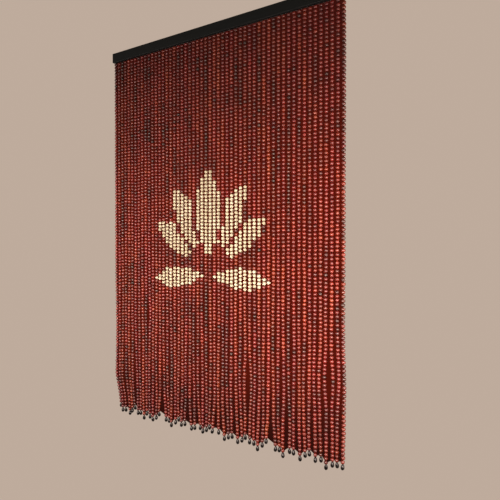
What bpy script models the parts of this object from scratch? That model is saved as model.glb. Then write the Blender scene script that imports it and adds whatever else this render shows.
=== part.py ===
# A bead curtain: straight strings of round wooden beads, each ending in a black drop bead,
# hung side by side from a slim black header rail that is screwed on by its back face.
#
# Units are metres. X runs along the rail, -Y is the side that is looked at and +Z is up.
# The origin is the centre of the rail's back face.

import math

import bmesh
import bpy
import numpy as np

MM = 0.001

# Beads and strings
STRAND_COUNT = 54
STRAND_PITCH = 15.0 * MM
BEAD_PITCH = 10.16 * MM
BEADS_PER_STRAND = 112
STRAND_WIDTH = 9.4 * MM
DROP_LENGTH = 15.0 * MM
DROP_WIDTH = 8.6 * MM
THREAD_WIDTH = 2.4 * MM

# Header rail, and the thin strip under it that the strings are made fast in
RAIL_HEIGHT = 30.0 * MM
RAIL_DEPTH = 18.0 * MM
RAIL_OVERHANG = 7.5 * MM
RAIL_EDGE_RADIUS = 1.2 * MM
RAIL_BEVEL_SEGMENTS = 3
FIT_GAP = 0.3 * MM
STRIP_HEIGHT = 2.5 * MM
STRIP_DEPTH = 4.0 * MM
NECK_LENGTH = 0.8 * MM

RAIL_LENGTH = (STRAND_COUNT - 1) * STRAND_PITCH + 2 * RAIL_OVERHANG
STRAND_LINE_Y = -RAIL_DEPTH / 2
STRIP_TOP_Z = -RAIL_HEIGHT / 2 - FIT_GAP
FIRST_BEAD_Z = STRIP_TOP_Z - STRIP_HEIGHT - NECK_LENGTH

# Where the strings part near their ends. A split opens after the numbered strand, from one
# depth below the first bead to another. A split with no lower depth stays open to the ends.
SPLITS = [
    {"after": 2, "width": 20 * MM, "from": 0.99, "to": None},
    {"after": 5, "width": 7 * MM, "from": 0.95, "to": None},
    {"after": 7, "width": 6 * MM, "from": 1.06, "to": None},
    {"after": 9, "width": 4 * MM, "from": 0.76, "to": 0.88},
    {"after": 13, "width": 16 * MM, "from": 1.05, "to": None},
    {"after": 16, "width": 5 * MM, "from": 1.08, "to": None},
    {"after": 20, "width": 13 * MM, "from": 1.05, "to": None},
    {"after": 22, "width": 7 * MM, "from": 1.02, "to": None},
    {"after": 27, "width": 9 * MM, "from": 1.03, "to": None},
    {"after": 28, "width": 9 * MM, "from": 1.04, "to": None},
    {"after": 31, "width": 6 * MM, "from": 1.06, "to": None},
    {"after": 34, "width": 9 * MM, "from": 0.88, "to": 1.08},
    {"after": 39, "width": 15 * MM, "from": 1.06, "to": None},
    {"after": 42, "width": 8 * MM, "from": 0.97, "to": None},
    {"after": 44, "width": 8 * MM, "from": 1.05, "to": None},
    {"after": 50, "width": 9 * MM, "from": 0.85, "to": 1.03},
]
SPLIT_REACH = 1.8  # strands over which a split's push dies away
EDGE_LEAN = {"width": 31 * MM, "from": 1.02, "strands": 2.6}  # the first strings swing inwards
SWAY_TOP = 0.35 * MM
SWAY_END = 2.6 * MM
SWAY_START = 0.45
SWAY_WAVE = 0.42
DEPTH_SHARE = 0.95
CLOSEST = 10.7 * MM
GOLDEN = 0.61803399
RELAX_ROUNDS = 40

# Depths below the first bead at which the strings' solids have a section
SECTION_DEPTHS = [0.0, 0.32, 0.58, 0.68, 0.76, 0.84, 0.90, 0.95, 1.00, 1.04, 1.08]


def smooth(low, high, value):
    """A smooth step from 0 at low to 1 at high."""
    share = min(1.0, max(0.0, (value - low) / (high - low)))
    return share * share * (3 - 2 * share)


def bead_count(strand):
    """Beads on one string. The strings differ by a bead or two, so their ends are uneven."""
    spread = (strand * GOLDEN) % 1
    return BEADS_PER_STRAND + round(1.6 * (spread - 0.45))


def beads_length(strand):
    return bead_count(strand) * BEAD_PITCH


def split_push(strand, depth):
    """How far the splits push a string sideways at a depth below the first bead."""
    length = beads_length(strand)
    push = 0.0
    for split in SPLITS:
        if split["to"] is None:
            open_share = smooth(split["from"], length + DROP_LENGTH, depth)
        else:
            along = (depth - split["from"]) / (split["to"] - split["from"])
            open_share = math.sin(math.pi * min(1.0, max(0.0, along))) ** 2
        away = strand - split["after"] - 0.5
        fade = math.exp(-(abs(away) - 0.5) / SPLIT_REACH)
        push += math.copysign(split["width"] / 2 * open_share * fade, away)
    lean = smooth(EDGE_LEAN["from"], length, depth)
    return push + EDGE_LEAN["width"] * lean * math.exp(-strand / EDGE_LEAN["strands"])


def sway(strand, depth, turn):
    """The slight waver of a string, which grows towards its free end."""
    size = SWAY_TOP + (SWAY_END - SWAY_TOP) * smooth(SWAY_START, 1.15, depth)
    own = 2 * math.pi * ((strand * GOLDEN + turn) % 1)
    shared = 0.7 * strand + 2.0 * turn
    wave = 2 * math.pi * depth / SWAY_WAVE
    return size * (0.6 * math.sin(wave + own) + 0.4 * math.sin(0.6 * wave + shared))


def places_at(depth):
    """X and Y of every string at one depth, pushed apart where they would touch."""
    strands = range(STRAND_COUNT)
    middle = (STRAND_COUNT - 1) / 2
    x = np.array(
        [(s - middle) * STRAND_PITCH + split_push(s, depth) + sway(s, depth, 0.0) for s in strands]
    )
    y = np.array([STRAND_LINE_Y + DEPTH_SHARE * sway(s, depth, 0.37) for s in strands])
    for _ in range(RELAX_ROUNDS):
        short = np.maximum(0.0, CLOSEST - np.diff(x)) / 2
        x[:-1] -= short
        x[1:] += short
    return x, y


def clear_scene():
    for obj in list(bpy.data.objects):
        bpy.data.objects.remove(obj, do_unlink=True)


def make_material(name, colour, roughness, metallic=0.0):
    material = bpy.data.materials.new(name)
    material.use_nodes = True
    shader = material.node_tree.nodes["Principled BSDF"]
    shader.inputs["Base Color"].default_value = (*colour, 1.0)
    shader.inputs["Roughness"].default_value = roughness
    shader.inputs["Metallic"].default_value = metallic
    return material


def add_object(name, mesh, material):
    obj = bpy.data.objects.new(name, mesh)
    bpy.context.scene.collection.objects.link(obj)
    mesh.materials.append(material)
    return obj


def make_header_rail(material):
    """A plain rectangular rail with softened edges, its back face on the XZ plane."""
    mesh = bpy.data.meshes.new("header_rail")
    bm = bmesh.new()
    bmesh.ops.create_cube(bm, size=1.0)
    bmesh.ops.scale(bm, vec=(RAIL_LENGTH, RAIL_DEPTH, RAIL_HEIGHT), verts=bm.verts)
    bm.to_mesh(mesh)
    bm.free()
    rail = add_object("header_rail", mesh, material)
    rail.location = (0, -RAIL_DEPTH / 2, 0)
    bevel = rail.modifiers.new("soft edges", "BEVEL")
    bevel.width = RAIL_EDGE_RADIUS
    bevel.segments = RAIL_BEVEL_SEGMENTS
    return rail


def make_strip(bm):
    """The thin strip, and the small squares in its underside that the strings grow from."""
    middle = (STRAND_COUNT - 1) / 2
    half_thread = THREAD_WIDTH / 2
    edges = [-RAIL_LENGTH / 2 + RAIL_EDGE_RADIUS]
    for strand in range(STRAND_COUNT):
        centre = (strand - middle) * STRAND_PITCH
        edges += [centre - half_thread, centre + half_thread]
    edges.append(RAIL_LENGTH / 2 - RAIL_EDGE_RADIUS)
    top_z = STRIP_TOP_Z
    low_z = STRIP_TOP_Z - STRIP_HEIGHT
    rows = [
        (STRAND_LINE_Y - STRIP_DEPTH / 2, top_z),
        (STRAND_LINE_Y - STRIP_DEPTH / 2, low_z),
        (STRAND_LINE_Y - half_thread, low_z),
        (STRAND_LINE_Y + half_thread, low_z),
        (STRAND_LINE_Y + STRIP_DEPTH / 2, low_z),
        (STRAND_LINE_Y + STRIP_DEPTH / 2, top_z),
    ]
    grid = [[bm.verts.new((x, y, z)) for y, z in rows] for x in edges]
    squares = []
    for column, (left, right) in enumerate(zip(grid, grid[1:])):
        for row in range(len(rows)):
            after = (row + 1) % len(rows)
            face = bm.faces.new((left[row], left[after], right[after], right[row]))
            if row == 2 and column % 2 == 1:
                squares.append(face)
    bm.faces.new(reversed(grid[0]))
    bm.faces.new(grid[-1])
    return squares


def extrude_to(bm, face, centre, width):
    """Extrudes a square face down to a level square of the given width. Returns the new one."""
    made = bmesh.ops.extrude_face_region(bm, geom=[face])
    face_below = next(part for part in made["geom"] if isinstance(part, bmesh.types.BMFace))
    corners = list(face_below.verts)
    middle = sum((corner.co for corner in corners), corners[0].co * 0) / len(corners)
    for corner in corners:
        corner.co.x = centre[0] + math.copysign(width / 2, corner.co.x - middle.x)
        corner.co.y = centre[1] + math.copysign(width / 2, corner.co.y - middle.y)
        corner.co.z = centre[2]
    bmesh.ops.delete(bm, geom=[face], context="FACES_ONLY")
    return face_below


def strand_sections(strand):
    """Depth below the first bead and width of each section of one string, from its top."""
    length = beads_length(strand)
    sections = [(depth, STRAND_WIDTH) for depth in SECTION_DEPTHS]
    sections += [
        (length - 0.15 * BEAD_PITCH, STRAND_WIDTH),
        (length, THREAD_WIDTH),
        (length + 0.60 * DROP_LENGTH, DROP_WIDTH),
        (length + DROP_LENGTH, 0.45 * DROP_WIDTH),
    ]
    return sections


def make_bead_strands(material):
    """Every string as a slim four-sided solid, all grown from one thin strip."""
    mesh = bpy.data.meshes.new("bead_strands")
    bm = bmesh.new()
    squares = make_strip(bm)
    depths = sorted({depth for s in range(STRAND_COUNT) for depth, _ in strand_sections(s)})
    places = {depth: places_at(depth) for depth in depths}
    for strand, face in enumerate(squares):
        for depth, width in strand_sections(strand):
            x, y = places[depth]
            centre = (x[strand], y[strand], FIRST_BEAD_Z - depth)
            face = extrude_to(bm, face, centre, width)
    bmesh.ops.recalc_face_normals(bm, faces=bm.faces)
    bm.to_mesh(mesh)
    bm.free()
    return add_object("bead_strands", mesh, material)


def main():
    clear_scene()
    black_paint = make_material("black painted rail", (0.010, 0.011, 0.011), 0.42)
    stained_wood = make_material("red-brown stained wood", (0.120, 0.018, 0.010), 0.28)
    make_header_rail(black_paint)
    make_bead_strands(stained_wood)


main()
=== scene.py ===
import math

import bpy
import numpy as np
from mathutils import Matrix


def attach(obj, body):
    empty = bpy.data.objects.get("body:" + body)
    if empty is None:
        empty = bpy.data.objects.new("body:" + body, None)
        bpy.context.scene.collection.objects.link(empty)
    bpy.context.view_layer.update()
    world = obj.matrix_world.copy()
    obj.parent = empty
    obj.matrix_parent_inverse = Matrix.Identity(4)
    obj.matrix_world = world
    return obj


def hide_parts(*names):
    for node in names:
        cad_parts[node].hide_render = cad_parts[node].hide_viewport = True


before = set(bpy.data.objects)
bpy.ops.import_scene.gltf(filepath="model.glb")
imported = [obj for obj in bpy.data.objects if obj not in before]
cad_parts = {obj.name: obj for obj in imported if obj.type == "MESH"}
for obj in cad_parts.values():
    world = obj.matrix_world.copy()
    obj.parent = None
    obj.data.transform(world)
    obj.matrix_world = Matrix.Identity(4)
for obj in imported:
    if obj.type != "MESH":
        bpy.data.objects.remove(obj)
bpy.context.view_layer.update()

mm = 0.001
chance = np.random.default_rng(11)  # one seeded source for all the small irregularities


# Colour and node helpers
def linearColour(hexCode):
    channels = [int(hexCode[i : i + 2], 16) / 255 for i in (1, 3, 5)]
    curve = [c / 12.92 if c <= 0.04045 else ((c + 0.055) / 1.055) ** 2.4 for c in channels]
    return (*curve, 1.0)


def addNode(tree, kind, settings=None, values=None, links=None):
    node = tree.nodes.new(kind)
    for name, value in (settings or {}).items():
        setattr(node, name, value)
    for socket, value in (values or {}).items():
        node.inputs[socket].default_value = value
    for socket, source in (links or {}).items():
        tree.links.new(source, node.inputs[socket])
    return node


def newMaterial(name, values):
    material = bpy.data.materials.new(name)
    material.use_nodes = True
    shader = material.node_tree.nodes["Principled BSDF"]
    for socket, value in values.items():
        shader.inputs[socket].default_value = value
    return material, material.node_tree, shader


def setRamp(node, stops):
    ramp = node.color_ramp
    while len(ramp.elements) < len(stops):
        ramp.elements.new(0.5)
    for element, (place, hexCode) in zip(ramp.elements, stops):
        element.position = place
        element.color = linearColour(hexCode)


def fromArrays(name, points, quads, material, shades=None):
    # One mesh from plain arrays, which keeps thousands of beads quick to build
    mesh = bpy.data.meshes.new(name)
    mesh.vertices.add(len(points))
    mesh.vertices.foreach_set("co", np.asarray(points, np.float32).ravel())
    mesh.loops.add(quads.size)
    mesh.loops.foreach_set("vertex_index", quads.astype(np.int32).ravel())
    mesh.polygons.add(len(quads))
    mesh.polygons.foreach_set("loop_start", np.arange(0, quads.size, 4, dtype=np.int32))
    mesh.polygons.foreach_set("use_smooth", np.ones(len(quads), bool))
    mesh.update(calc_edges=True)
    if shades is not None:
        layer = mesh.attributes.new("beadShade", "FLOAT_COLOR", "POINT")
        layer.data.foreach_set("color", np.asarray(shades, np.float32).ravel())
    mesh.materials.append(material)
    piece = bpy.data.objects.new(name, mesh)
    bpy.context.scene.collection.objects.link(piece)
    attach(piece, "root")
    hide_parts("bead_strands")
    return piece


# How the strings hang. These are the sizes that the solids were made with, in metres.
hang = {
    "strings": 54,
    "pitch": 15.0 * mm,
    "lineY": -9.0 * mm,  # the strings hang under the middle of the rail
    "beadPitch": 10.16 * mm,
    "beadsEach": 112,
    "firstBeadZ": -18.6 * mm,
    "headroom": 2.9 * mm,  # the beads start this much above the solids, up against the rail
    "dropLength": 15.0 * mm,
    "splitReach": 1.8,  # strings over which a split's push dies away
    "closest": 10.7 * mm,
    "golden": 0.61803399,
    "relaxRounds": 40,
    "countSpread": 1.6,
    "countShift": 0.45,
    # turned beads differ a little in height, so no two strings end quite alike
    "lengthSpread": 0.0022,
    "lengthLimit": 0.004,
}

# The slight waver of a string, which grows towards its free end
sway = {
    "top": 0.35 * mm,
    "end": 2.6 * mm,
    "from": 0.45,
    "full": 1.15,
    "wave": 0.42,
    "own": 0.6,  # how much of it is a string's own
    "shared": 0.4,  # how much it has in common with the strings beside it
    "sharedPace": 0.6,
    "sharedStep": 0.7,
    "sharedTurn": 2.0,
    "depthTurn": 0.37,
    "depthShare": 0.95,
}

# A split opens after the numbered string between two depths, or down to the ends
splits = [
    {"after": 2, "width": 20 * mm, "from": 0.99, "to": None},
    {"after": 5, "width": 7 * mm, "from": 0.95, "to": None},
    {"after": 7, "width": 6 * mm, "from": 1.06, "to": None},
    {"after": 9, "width": 4 * mm, "from": 0.76, "to": 0.88},
    {"after": 13, "width": 16 * mm, "from": 1.05, "to": None},
    {"after": 16, "width": 5 * mm, "from": 1.08, "to": None},
    {"after": 20, "width": 13 * mm, "from": 1.05, "to": None},
    {"after": 22, "width": 7 * mm, "from": 1.02, "to": None},
    {"after": 27, "width": 9 * mm, "from": 1.03, "to": None},
    {"after": 28, "width": 9 * mm, "from": 1.04, "to": None},
    {"after": 31, "width": 6 * mm, "from": 1.06, "to": None},
    {"after": 34, "width": 9 * mm, "from": 0.88, "to": 1.08},
    {"after": 39, "width": 15 * mm, "from": 1.06, "to": None},
    {"after": 42, "width": 8 * mm, "from": 0.97, "to": None},
    {"after": 44, "width": 8 * mm, "from": 1.05, "to": None},
    {"after": 50, "width": 9 * mm, "from": 0.85, "to": 1.03},
]
edgeLean = {"width": 31 * mm, "from": 1.02, "strings": 2.6}  # the first strings swing inwards

number = np.arange(hang["strings"])
straightX = (number - (hang["strings"] - 1) / 2) * hang["pitch"]
extraBeads = hang["countSpread"] * ((number * hang["golden"]) % 1 - hang["countShift"])
beadCounts = hang["beadsEach"] + np.round(extraBeads).astype(int)
beadsLength = beadCounts * hang["beadPitch"]
stretch = chance.normal(0, hang["lengthSpread"], hang["strings"])
endDepth = beadsLength * (1 + stretch.clip(-hang["lengthLimit"], hang["lengthLimit"]))


def smoothStep(low, high, value):
    share = np.clip((value - low) / (high - low), 0, 1)
    return share * share * (3 - 2 * share)


def swayAt(depth, turn):
    size = sway["end"] - sway["top"]
    size = sway["top"] + size * smoothStep(sway["from"], sway["full"], depth)
    ownStart = 2 * math.pi * ((number * hang["golden"] + turn) % 1)
    sharedStart = sway["sharedStep"] * number + sway["sharedTurn"] * turn
    wave = 2 * math.pi * depth / sway["wave"]
    own = sway["own"] * np.sin(wave + ownStart)
    return size * (own + sway["shared"] * np.sin(sway["sharedPace"] * wave + sharedStart))


def stringPlaces(depth):
    # X and Y of every string at one depth below the first bead
    push = np.zeros(hang["strings"])
    for split in splits:
        if split["to"] is None:
            opening = smoothStep(split["from"], beadsLength + hang["dropLength"], depth)
        else:
            along = np.clip((depth - split["from"]) / (split["to"] - split["from"]), 0, 1)
            opening = np.sin(math.pi * along) ** 2
        away = number - split["after"] - 0.5
        fade = np.exp(-(np.abs(away) - 0.5) / hang["splitReach"])
        push += np.sign(away) * split["width"] / 2 * opening * fade
    lean = smoothStep(edgeLean["from"], beadsLength, depth)
    push += edgeLean["width"] * lean * np.exp(-number / edgeLean["strings"])
    x = straightX + push + swayAt(depth, 0.0)
    y = hang["lineY"] + sway["depthShare"] * swayAt(depth, sway["depthTurn"])
    for _ in range(hang["relaxRounds"]):
        short = np.maximum(0, hang["closest"] - np.diff(x)) / 2
        x[:-1] -= short
        x[1:] += short
    return x, y


# The strings' paths are worked out every 5 mm from just above the first bead
route = {"from": -0.01, "to": 1.19, "points": 241}
routeDepths = np.linspace(route["from"], route["to"], route["points"])
routeX, routeY = (np.array(rows) for rows in zip(*[stringPlaces(depth) for depth in routeDepths]))


def onString(string, depth):
    # Points on one string at the given depths
    x = np.interp(depth, routeDepths, routeX[:, string])
    y = np.interp(depth, routeDepths, routeY[:, string])
    return np.stack([x, y, hang["firstBeadZ"] - depth], -1)


def alongString(string, depth):
    # The direction of the string, pointing up
    step = 4 * mm
    way = onString(string, depth - step) - onString(string, depth + step)
    return way / np.linalg.norm(way, axis=-1, keepdims=True)


# The motif: an open lotus over two long leaves, told by which beads are cream
motif = {
    "middle": (-16 * mm, -571.5 * mm),
    "outline": 12.5 * mm,  # dark beads left between one petal and the next
    "towardsTip": 1.2,  # above 1, a petal is widest nearer to its tip
    "fullness": 0.85,  # below 1, its sides are fuller
    "reach": (-0.03, 1.05),  # share of the length from and to which it covers what lies behind
    # front ones first: lean from upright in degrees, length and width, and the share of the length
    # below which the beads stay dark
    "petals": [
        {"root": (0, -92), "lean": 0, "length": 266, "width": 98, "from": 0.0},
        {"root": (0, -96), "lean": 30, "length": 254, "width": 84, "from": 0.24},
        {"root": (0, -96), "lean": -30, "length": 254, "width": 84, "from": 0.24},
        {"root": (0, -100), "lean": 58, "length": 232, "width": 74, "from": 0.3},
        {"root": (0, -100), "lean": -58, "length": 232, "width": 74, "from": 0.3},
        {"root": (8, -136), "lean": 94, "length": 200, "width": 62, "from": 0.0},
        {"root": (-8, -136), "lean": -94, "length": 200, "width": 62, "from": 0.0},
    ],
}


def isCream(x, z):
    right, up = x - motif["middle"][0], z - motif["middle"][1]
    for petal in motif["petals"]:
        angle = math.radians(petal["lean"])
        dx, dz = right - petal["root"][0] * mm, up - petal["root"][1] * mm
        along = dx * math.sin(angle) + dz * math.cos(angle)
        across = abs(dx * math.cos(angle) - dz * math.sin(angle))
        share = along / (petal["length"] * mm)
        if not motif["reach"][0] < share < motif["reach"][1]:
            continue
        swell = math.sin(math.pi * min(1, max(0, share)) ** motif["towardsTip"])
        half = petal["width"] / 2 * mm * max(0, swell) ** motif["fullness"]
        if petal["from"] < share < 1 and across < half:
            return True
        if across < half + motif["outline"]:
            return False
    return False


# Beads: turned from round wood, so each is a lathe shape with a hole through it
bead = {
    "radius": 5.36 * mm,
    "halfHeight": 5.06 * mm,
    "rings": [14, 44, 76, 104, 136, 166],  # degrees from the top of the bead
    "sides": 12,
    "sizeSpread": 0.022,
    "sizeLimit": 0.05,
    "heightSpread": 0.028,
    "heightLimit": 0.06,
    "tiltSpread": math.radians(3.5),
    "slack": 0.22 * mm,  # how far a bead sits off its thread
}
groupSize = 9  # strings in one joined piece

# How a bead's stain and warmth vary: the middle value, and what the bead, a slow drift along the
# string and the string itself add to it
stainSpread = {"middle": 0.56, "bead": 0.09, "drift": 0.14, "driftBeads": 6, "string": 0.05}
warmSpread = {"middle": 0.38, "bead": 0.12, "drift": 0.2, "driftBeads": 9, "string": 0.16}
darkBeads = {"share": 0.04, "darker": 0.25}  # a few beads took the stain dark


def latheQuads(rings, sides, closed):
    bands = rings if closed else rings - 1
    side = np.arange(sides)
    quads = []
    for band in range(bands):
        upper, lower = band * sides, (band + 1) % rings * sides
        after = (side + 1) % sides
        quads.append(np.stack([upper + side, lower + side, lower + after, upper + after], -1))
    return np.concatenate(quads)


def lathePoints(radii, heights, sides):
    turn = 2 * math.pi * np.arange(sides) / sides
    rings = [np.stack([r * np.cos(turn), r * np.sin(turn), turn * 0 + z], -1)
             for r, z in zip(radii, heights)]
    return np.concatenate(rings)


ringAngles = np.radians(bead["rings"])
beadPoints = lathePoints(
    bead["radius"] * np.sin(ringAngles), bead["halfHeight"] * np.cos(ringAngles), bead["sides"]
)
beadQuads = latheQuads(len(bead["rings"]), bead["sides"], True)


def standUp(directions, spins):
    # Rotation matrices that take +Z to each direction, with a turn of their own about it
    side = np.stack([np.cos(spins), np.sin(spins), np.zeros(len(spins))], -1)
    across = np.cross(directions, side)
    across /= np.linalg.norm(across, axis=-1, keepdims=True)
    side = np.cross(across, directions)
    return np.stack([side, across, directions], -1)


def varied(spread, count):
    # A value for each bead of a string that drifts slowly along it
    step = spread["driftBeads"]
    knots = np.arange(0, count + 2 * step, step)
    drift = np.interp(np.arange(count), knots, chance.normal(0, 1, len(knots)))
    ownShare = spread["bead"] * chance.normal(0, 1, count)
    return spread["middle"] + ownShare + spread["drift"] * drift + spread["string"] * chance.normal()


def beadRow(string):
    # Places, turns, sizes and shades of the beads of one string, and which of them are cream
    count = beadCounts[string]
    height = chance.normal(0, bead["heightSpread"], count)
    height = 1 + height.clip(-bead["heightLimit"], bead["heightLimit"])
    height *= (endDepth[string] + hang["headroom"]) / height.sum()
    depth = np.cumsum(height) - 0.5 * height - hang["headroom"]
    place = onString(string, depth)
    place[:, :2] += chance.normal(0, bead["slack"], (count, 2))
    way = alongString(string, depth)
    way[:, :2] += chance.normal(0, bead["tiltSpread"], (count, 2))
    way /= np.linalg.norm(way, axis=-1, keepdims=True)
    turn = standUp(way, chance.uniform(0, 2 * math.pi, count))
    size = chance.normal(0, bead["sizeSpread"], (count, 1))
    size = np.repeat(1 + size.clip(-bead["sizeLimit"], bead["sizeLimit"]), 3, 1)
    size[:, 2] = height / hang["beadPitch"]
    shade = varied(stainSpread, count)
    shade -= darkBeads["darker"] * (chance.uniform(0, 1, count) < darkBeads["share"])
    warmth = varied(warmSpread, count)
    gloss = chance.uniform(0, 1, count)
    shades = np.stack([shade.clip(0, 1), warmth.clip(0, 1), gloss, np.ones(count)], -1)
    # The motif is strung bead by bead, so it is told on the straight strings
    z = hang["firstBeadZ"] - depth
    cream = np.array([isCream(straightX[string], beadZ) for beadZ in z])
    return place, turn, size, shades, cream


def joinBeads(rows):
    place, turn, size, shades = (np.concatenate(part) for part in zip(*rows))
    local = beadPoints[None] * size[:, None]
    points = np.einsum("bij,bkj->bki", turn, local) + place[:, None]
    quads = beadQuads[None] + (np.arange(len(place)) * len(beadPoints))[:, None, None]
    perPoint = np.repeat(shades, len(beadPoints), 0)
    return points.reshape(-1, 3), quads.reshape(-1, 4), perPoint


# Lacquered beech beads stained red-brown: a clear glossy skin over colour that varies from bead
# to bead, from near-black brown through maroon to brick red, with faint lengthwise grain.
# Each bead's beadShade holds its shade in red, its warmth in green and its wear in blue
stainedBeads, tree, shader = newMaterial(
    "lacquered beech stained red-brown",
    {"IOR": 1.5, "Specular IOR Level": 0.32, "Coat Weight": 1.0, "Coat Roughness": 0.34,
     "Coat IOR": 1.55},
)
shade = addNode(tree, "ShaderNodeAttribute", {"attribute_name": "beadShade"})
split = addNode(tree, "ShaderNodeSeparateColor", links={"Color": shade.outputs["Color"]})
stain = addNode(tree, "ShaderNodeValToRGB", links={"Fac": split.outputs["Red"]})
setRamp(stain, [(0.05, "#33170F"), (0.3, "#4C1412"), (0.52, "#6B1915"), (0.75, "#7B1D17"),
                (1.0, "#8B291D")])
# Some strings took the stain warmer, towards orange-brown
warm = addNode(tree, "ShaderNodeValToRGB", links={"Fac": split.outputs["Red"]})
setRamp(warm, [(0.05, "#33190D"), (0.3, "#4E1E0D"), (0.52, "#6F270F"), (0.75, "#833112"),
               (1.0, "#934318")])
# Sockets 0, 6 and 7 of a colour mix are its factor and its two colours, and output 2 the result
hue = addNode(tree, "ShaderNodeMix", {"data_type": "RGBA"}, links={
    0: split.outputs["Green"], 6: stain.outputs["Color"], 7: warm.outputs["Color"]})
where = addNode(tree, "ShaderNodeTexCoord")
lengthwise = addNode(tree, "ShaderNodeMapping", values={"Scale": (1.0, 1.0, 0.25)},
                     links={"Vector": where.outputs["Object"]})
# Beech pores are 0.1 mm wide. They are drawn about 1 mm wide, the finest that can show
grain = addNode(tree, "ShaderNodeTexNoise",
                values={"Scale": 900.0, "Detail": 3.0, "Roughness": 0.6},
                links={"Vector": lengthwise.outputs["Vector"]})
depthOfGrain = addNode(tree, "ShaderNodeMapRange",
                       values={"From Min": 0.3, "From Max": 0.7, "To Min": 0.72, "To Max": 1.12},
                       links={"Value": grain.outputs["Fac"]})
stained = addNode(tree, "ShaderNodeVectorMath", {"operation": "SCALE"},
                  links={0: hue.outputs[2], "Scale": depthOfGrain.outputs["Result"]})
tree.links.new(stained.outputs["Vector"], shader.inputs["Base Color"])
worn = addNode(tree, "ShaderNodeMapRange", values={"To Min": 0.36, "To Max": 0.5},
               links={"Value": split.outputs["Blue"]})
tree.links.new(worn.outputs["Result"], shader.inputs["Roughness"])
ripple = addNode(tree, "ShaderNodeBump", values={"Strength": 0.12, "Distance": 0.0002},
                 links={"Height": grain.outputs["Fac"]})
tree.links.new(ripple.outputs["Normal"], shader.inputs["Normal"])

# Cream enamelled beads: opaque paint, smooth and bright, each a little warmer or paler
creamBeads, tree, shader = newMaterial(
    "cream enamelled beech",
    {"Roughness": 0.4, "IOR": 1.5, "Coat Weight": 0.2, "Coat Roughness": 0.25, "Coat IOR": 1.5},
)
shade = addNode(tree, "ShaderNodeAttribute", {"attribute_name": "beadShade"})
split = addNode(tree, "ShaderNodeSeparateColor", links={"Color": shade.outputs["Color"]})
paint = addNode(tree, "ShaderNodeValToRGB", links={"Fac": split.outputs["Red"]})
setRamp(paint, [(0.1, "#A9A083"), (0.5, "#B8AF93"), (0.9, "#C6BFA6")])
where = addNode(tree, "ShaderNodeTexCoord")
# Enamel flows into soft pools a few millimetres wide
pools = addNode(tree, "ShaderNodeTexNoise", values={"Scale": 260.0, "Detail": 2.0},
                links={"Vector": where.outputs["Object"]})
soft = addNode(tree, "ShaderNodeMapRange", values={"To Min": 0.9, "To Max": 1.06},
               links={"Value": pools.outputs["Fac"]})
painted = addNode(tree, "ShaderNodeVectorMath", {"operation": "SCALE"},
                  links={0: paint.outputs["Color"], "Scale": soft.outputs["Result"]})
tree.links.new(painted.outputs["Vector"], shader.inputs["Base Color"])
ripple = addNode(tree, "ShaderNodeBump", values={"Strength": 0.06, "Distance": 0.0002},
                 links={"Height": pools.outputs["Fac"]})
tree.links.new(ripple.outputs["Normal"], shader.inputs["Normal"])

creamRows = []
for group in range(hang["strings"] // groupSize):
    redRows = []
    for string in range(group * groupSize, (group + 1) * groupSize):
        place, turn, size, shades, cream = beadRow(string)
        redRows.append((place[~cream], turn[~cream], size[~cream], shades[~cream]))
        creamRows.append((place[cream], turn[cream], size[cream], shades[cream]))
    points, quads, perPoint = joinBeads(redRows)
    fromArrays(f"red_beads_{group + 1}", points, quads, stainedBeads, perPoint)
points, quads, perPoint = joinBeads(creamRows)
fromArrays("cream_beads", points, quads, creamBeads, perPoint)
print("beads strung:", beadCounts.sum(), "of them cream:", len(quads) // len(beadQuads))


# Threads: one down the middle of each string, from the rail into its drop bead
thread = {
    "radius": 0.75 * mm,
    "sides": 6,
    "sections": 40,
    "topZ": -14.9 * mm,  # just inside the rail
}


def tubeAlong(centres, radii, sides):
    points = []
    for centre, radius in zip(centres, radii):
        points.append(lathePoints([radius], [0], sides) + centre)
    return np.concatenate(points)


# Waxed cotton thread, dark brown: matt, with the slanted lay of its plies
waxedThread, tree, shader = newMaterial("waxed cotton thread", {"Roughness": 0.7, "IOR": 1.5})
where = addNode(tree, "ShaderNodeTexCoord")
tilt = addNode(tree, "ShaderNodeMapping", values={"Rotation": (0.6, 0.3, 0.0)},
               links={"Vector": where.outputs["Object"]})
# The lay repeats every 1.5 mm
plies = addNode(tree, "ShaderNodeTexWave", {"bands_direction": "Z"},
                {"Scale": 105.0, "Distortion": 1.0}, {"Vector": tilt.outputs["Vector"]})
fibre = addNode(tree, "ShaderNodeValToRGB", links={"Fac": plies.outputs["Fac"]})
setRamp(fibre, [(0.0, "#160B08"), (1.0, "#3A1E15")])
tree.links.new(fibre.outputs["Color"], shader.inputs["Base Color"])
twist = addNode(tree, "ShaderNodeBump", values={"Strength": 0.4, "Distance": 0.0003},
                links={"Height": plies.outputs["Fac"]})
tree.links.new(twist.outputs["Normal"], shader.inputs["Normal"])

threadPoints = []
threadQuads = []
for string in number:
    top = hang["firstBeadZ"] - thread["topZ"]
    depth = np.linspace(top, endDepth[string] + 0.5 * hang["dropLength"], thread["sections"])
    centres = onString(string, depth)
    radii = np.full(thread["sections"], thread["radius"])
    start = len(threadPoints) * thread["sections"] * thread["sides"]
    threadPoints.append(tubeAlong(centres, radii, thread["sides"]))
    threadQuads.append(latheQuads(thread["sections"], thread["sides"], False) + start)
fromArrays("threads", np.concatenate(threadPoints), np.concatenate(threadQuads), waxedThread)
print("threads drawn")


# Drop beads: one black pear-shaped bead at each end
drop = {
    "sides": 16,
    # share of the length from the top, and radius in mm
    "profile": [(0.0, 1.2), (0.02, 1.7), (0.10, 2.5), (0.22, 3.4), (0.38, 4.3), (0.55, 4.75),
                (0.70, 4.6), (0.83, 3.9), (0.93, 2.6), (0.985, 1.2), (1.0, 0.35)],
    "tiltSpread": math.radians(5),
}

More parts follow.
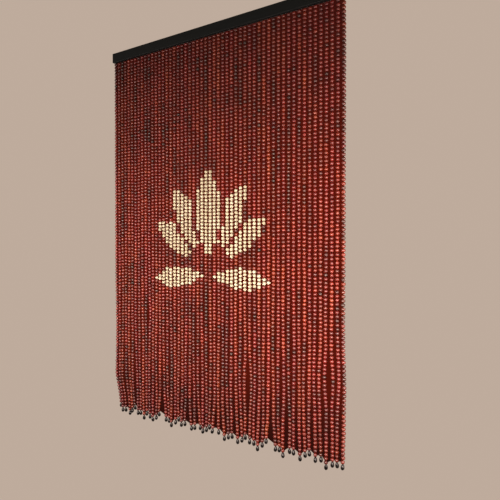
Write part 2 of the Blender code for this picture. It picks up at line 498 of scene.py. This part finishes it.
# Black glossy lacquer: nearly black, with clear small highlights
blackDrops, tree, shader = newMaterial(
    "black lacquered drop bead",
    {"Roughness": 0.3, "IOR": 1.5, "Specular IOR Level": 0.3, "Coat Weight": 0.5,
     "Coat Roughness": 0.14, "Coat IOR": 1.5},
)
where = addNode(tree, "ShaderNodeTexCoord")
cloud = addNode(tree, "ShaderNodeTexNoise", values={"Scale": 220.0, "Detail": 3.0},
                links={"Vector": where.outputs["Object"]})
lacquer = addNode(tree, "ShaderNodeValToRGB", links={"Fac": cloud.outputs["Fac"]})
setRamp(lacquer, [(0.3, "#090808"), (0.7, "#161311")])
tree.links.new(lacquer.outputs["Color"], shader.inputs["Base Color"])

shares, dropRadii = np.array(drop["profile"]).T
dropPoints = lathePoints(dropRadii * mm, (0.5 - shares) * hang["dropLength"], drop["sides"])
dropQuads = latheQuads(len(shares), drop["sides"], True)
points = []
quads = []
for string in number:
    depth = np.array([endDepth[string] + 0.5 * hang["dropLength"]])
    way = alongString(string, depth)
    way[:, :2] += chance.normal(0, drop["tiltSpread"], (1, 2))
    way /= np.linalg.norm(way)
    turn = standUp(way, chance.uniform(0, 2 * math.pi, 1))[0]
    points.append(dropPoints @ turn.T + onString(string, depth))
    quads.append(dropQuads + len(dropPoints) * int(string))
fromArrays("drop_beads", np.concatenate(points), np.concatenate(quads), blackDrops)
print("drop beads hung")


# The rail keeps its solid and gets its paint: satin black on a planed batten, so the face is
# near-black with a soft sheen, faint lengthwise brush lines and slightly rubbed edges
blackRail, tree, shader = newMaterial(
    "satin black paint on planed pine", {"IOR": 1.5, "Specular IOR Level": 0.35}
)
where = addNode(tree, "ShaderNodeTexCoord")
drawn = addNode(tree, "ShaderNodeMapping", values={"Scale": (0.05, 1.0, 1.0)},
                links={"Vector": where.outputs["Object"]})
# Brush lines lie about 1.5 mm apart
brushed = addNode(tree, "ShaderNodeTexNoise",
                  values={"Scale": 640.0, "Detail": 4.0, "Roughness": 0.55},
                  links={"Vector": drawn.outputs["Vector"]})
black = addNode(tree, "ShaderNodeValToRGB", links={"Fac": brushed.outputs["Fac"]})
setRamp(black, [(0.25, "#0C1315"), (0.75, "#151F20")])
edges = addNode(tree, "ShaderNodeNewGeometry")
rubbed = addNode(tree, "ShaderNodeMapRange",
                 values={"From Min": 0.52, "From Max": 0.62, "To Max": 0.5},
                 links={"Value": edges.outputs["Pointiness"]})
paintMix = addNode(tree, "ShaderNodeMix", {"data_type": "RGBA"},
                   values={7: linearColour("#2E2A26")},
                   links={0: rubbed.outputs["Result"], 6: black.outputs["Color"]})
tree.links.new(paintMix.outputs[2], shader.inputs["Base Color"])
sheen = addNode(tree, "ShaderNodeMapRange", values={"To Min": 0.48, "To Max": 0.62},
                links={"Value": brushed.outputs["Fac"]})
tree.links.new(sheen.outputs["Result"], shader.inputs["Roughness"])
lines = addNode(tree, "ShaderNodeBump", values={"Strength": 0.15, "Distance": 0.0004},
                links={"Height": brushed.outputs["Fac"]})
tree.links.new(lines.outputs["Normal"], shader.inputs["Normal"])
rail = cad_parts["header_rail"]
rail.data.materials.clear()
rail.data.materials.append(blackRail)
print("rail painted")


# Camera: where the photograph was taken from
view = {
    "place": (0.802, -1.0915, -0.616),
    "turn": 31.9,  # degrees to the left of straight on
    "tilt": -0.77,
    "lens": 33.36,
    "sensor": 36,
    "farthest": 500,
}
camera = bpy.data.objects.new("camera", bpy.data.cameras.new("camera"))
bpy.context.scene.collection.objects.link(camera)
camera.location = view["place"]
camera.rotation_euler = (math.radians(90 + view["tilt"]), 0, math.radians(view["turn"]))
camera.data.lens = view["lens"]
camera.data.sensor_width = view["sensor"]
camera.data.clip_end = view["farthest"]
bpy.context.scene.camera = camera


# Stage: a pale floor that curves up into a pale dome, lit evenly by itself like a light tent, and
# a thin dark sheet of painted shade in among the strings: it glows a dim dark red of its own and
# stands for the shade behind them. It has no part in the object: with the pale tent behind them,
# the gaps would wash the colour of the beads out
stage = {
    "floorZ": -5.95,
    "radius": 40.0,
    "cornerRadius": 12.0,
    "cornerSteps": 9,
    "middleRadius": 0.01,
    "sides": 64,
    "pale": "#BEAB9C",
    "backdropSetback": 1.5 * mm,  # behind the middle of the beads
    "backdropTop": -3.5 * mm,  # just under the rail
    "backdropShort": 3.048 * mm,  # it stops this much above the foot of the last bead
    "backdropRows": 48,
    # the painted shade in the sheet's glow from its foot to its top: deepest behind the ends of the
    # strings, darker again just under the rail
    "paintedShadeStops": [(0.0, "#2A0F0B"), (0.07, "#3C120C"), (0.16, "#58160B"), (0.6, "#5C150A"),
                       (0.84, "#45140D"), (1.0, "#3A120D")],
}


def stageMesh(name, points, faces, values):
    mesh = bpy.data.meshes.new(name)
    mesh.from_pydata(points, [], faces)
    mesh.polygons.foreach_set("use_smooth", [True] * len(faces))
    mesh.materials.append(newMaterial(name + " matt", values)[0])
    piece = bpy.data.objects.new(name, mesh)
    bpy.context.scene.collection.objects.link(piece)
    return piece


# The tent's profile: flat floor, a quarter round up, then a dome that closes over the top
corner, radius, floorZ = stage["cornerRadius"], stage["radius"], stage["floorZ"]
turns = np.linspace(0, math.pi / 2, stage["cornerSteps"])
middle = stage["middleRadius"]
tentRadii = np.concatenate([
    [middle], radius - corner + corner * np.sin(turns), radius * np.cos(turns[1:-1]), [middle]])
tentHeights = floorZ + np.concatenate([
    [0], corner * (1 - np.cos(turns)), corner + radius * np.sin(turns[1:-1]), [corner + radius]])
tentPoints = lathePoints(tentRadii, tentHeights, stage["sides"])
tentQuads = latheQuads(len(tentRadii), stage["sides"], False)
tent = stageMesh("pale_floor", tentPoints.tolist(), tentQuads.tolist(), {
    "Base Color": (0.02, 0.02, 0.02, 1), "Roughness": 0.9, "Specular IOR Level": 0.0,
    "Emission Color": linearColour(stage["pale"]), "Emission Strength": 1.0})
# The tent is a background alone: the lamps and the room light the curtain
tent.visible_diffuse = False
tent.visible_glossy = False
tent.visible_shadow = False

# The sheet of painted shade follows every string from the rail to its last bead
rows, columns = stage["backdropRows"], hang["strings"]
backdropPoints = []
for string in number:
    foot = endDepth[string] - stage["backdropShort"]
    depth = np.linspace(stage["backdropTop"], foot, rows)
    backdropPoints += (onString(string, depth) + (0, stage["backdropSetback"], 0)).tolist()
backdropQuads = [(c * rows + r, c * rows + r + 1, (c + 1) * rows + r + 1, (c + 1) * rows + r)
                 for c in range(columns - 1) for r in range(rows - 1)]
# Painted shade: the sheet is black and glows with its own dim dark red, stepped darker towards its
# foot and its top
backdrop = stageMesh("painted_shade_sheet", backdropPoints, backdropQuads, {
    "Base Color": (0, 0, 0, 1), "Roughness": 0.9, "Specular IOR Level": 0.0, "Emission Strength": 1.0})
tree = backdrop.active_material.node_tree
where = addNode(tree, "ShaderNodeTexCoord")
height = addNode(tree, "ShaderNodeSeparateXYZ", links={"Vector": where.outputs["Generated"]})
shaded = addNode(tree, "ShaderNodeValToRGB", links={"Fac": height.outputs["Z"]})
setRamp(shaded, stage["paintedShadeStops"])
tree.links.new(shaded.outputs["Color"], tree.nodes["Principled BSDF"].inputs["Emission Color"])


# Light: a broad soft lamp by the camera, one at the right, a faint one at the left, one behind for
# the back of the curtain, and a pale room
lamps = [
    {"name": "key", "place": (0.42, -0.82, -0.75), "aim": (0.32, 0, -0.75), "size": (1.8, 0.42),
     "power": 14.2, "spread": 98, "colour": "#FFEADE"},
    {"name": "right side", "place": (1.0, -0.12, -0.75), "aim": (0.4, 0, -0.72), "size": (0.5, 1.0),
     "power": 9.5, "spread": 180, "colour": "#FFE0D6"},
    {"name": "left side", "place": (-1.15, -0.55, -0.62), "aim": (-0.4, 0, -0.62), "size": (0.5, 0.9),
     "power": 1.4, "spread": 110, "colour": "#F6EFEE"},
    {"name": "back", "place": (-0.5, 1.3, -0.5), "aim": (0, 0, -0.65), "size": (1.6, 1.0),
     "power": 14, "spread": 150, "colour": "#FFEBDD"},
]
world = {"colour": "#BEAB9C", "strength": 0.22}


def aimAt(thing, target):
    way = np.array(target) - np.array(thing.location)
    flat = math.hypot(way[0], way[1])
    thing.rotation_euler = (math.atan2(flat, -way[2]), 0, math.atan2(-way[0], way[1]))


for lamp in lamps:
    light = bpy.data.lights.new(lamp["name"], "AREA")
    light.shape = "RECTANGLE"
    light.size, light.size_y = lamp["size"]
    light.energy = lamp["power"]
    light.spread = math.radians(lamp["spread"])
    light.color = linearColour(lamp["colour"])[:3]
    holder = bpy.data.objects.new(lamp["name"], light)
    holder.location = lamp["place"]
    aimAt(holder, lamp["aim"])
    holder.visible_camera = False
    bpy.context.scene.collection.objects.link(holder)

room = bpy.data.worlds.new("pale room")
bpy.context.scene.world = room
room.use_nodes = True
sky = room.node_tree.nodes["Background"]
sky.inputs["Color"].default_value = linearColour(world["colour"])
sky.inputs["Strength"].default_value = world["strength"]
bpy.context.scene.view_settings.view_transform = "Standard"
print("lit and framed")

bpy.context.view_layer.update()
